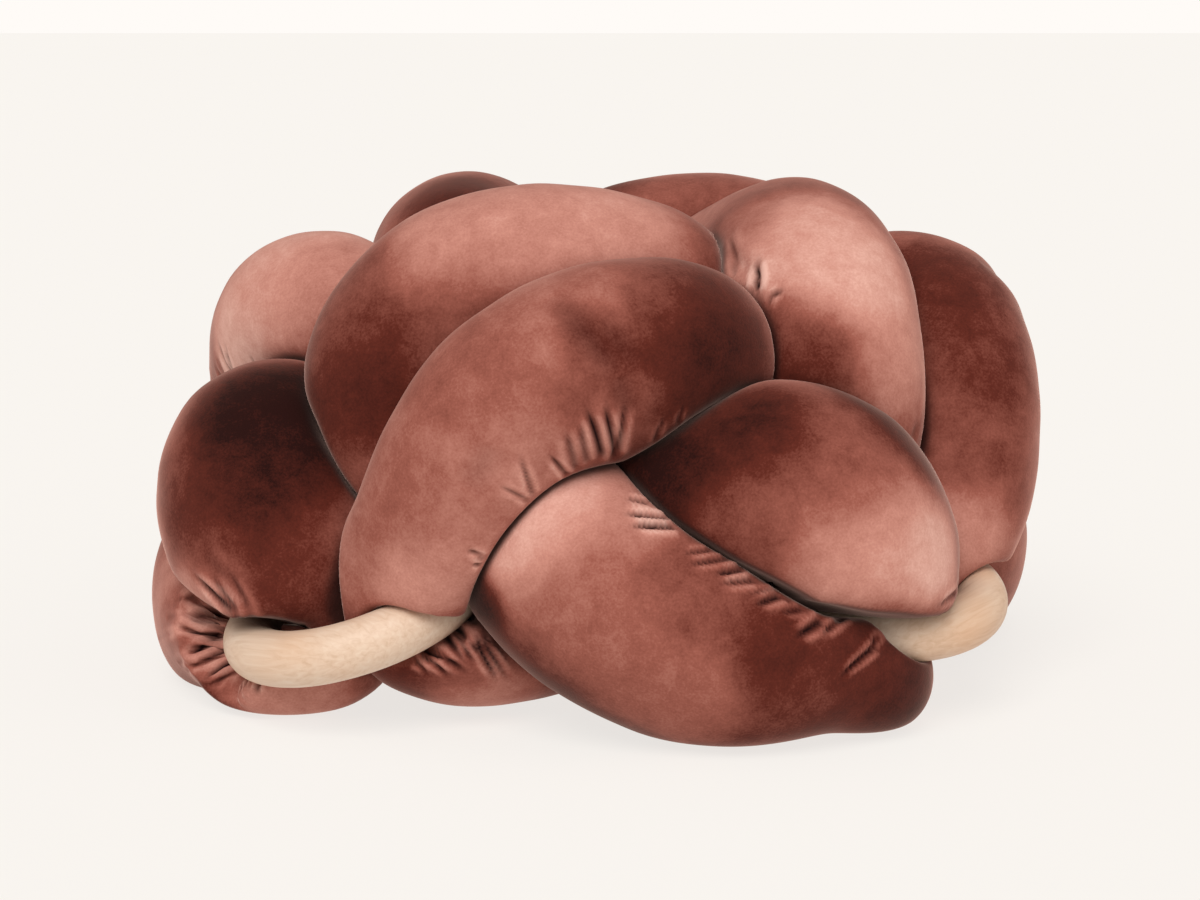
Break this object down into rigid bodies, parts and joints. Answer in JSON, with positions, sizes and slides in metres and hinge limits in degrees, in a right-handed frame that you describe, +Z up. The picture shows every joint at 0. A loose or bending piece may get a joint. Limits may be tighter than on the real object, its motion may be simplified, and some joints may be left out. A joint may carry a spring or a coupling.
{
  "type": "knot cushion",
  "caption": "Round floor or sofa cushion: a stuffed velvet tube tied into a domed basket knot, with its lower bends held in pale wooden rings.",
  "frame": {"origin": "middle of the cushion's outline on the surface that it rests on", "axes": "+Z up, -Y towards the front that the picture shows, +X to its right"},
  "size_m": [0.5646, 0.5629, 0.3112],
  "materials": {
    "rose_velvet": "short soft pile",
    "pale_wood": "smooth sanded, nearly matte"
  },
  "bodies": {
    "root": {"knot_tube": "rose_velvet", "ring_front_left": "pale_wood", "ring_front_right": "pale_wood", "ring_back_right": "pale_wood", "ring_back_left": "pale_wood"}
  },
  "joints": []
}
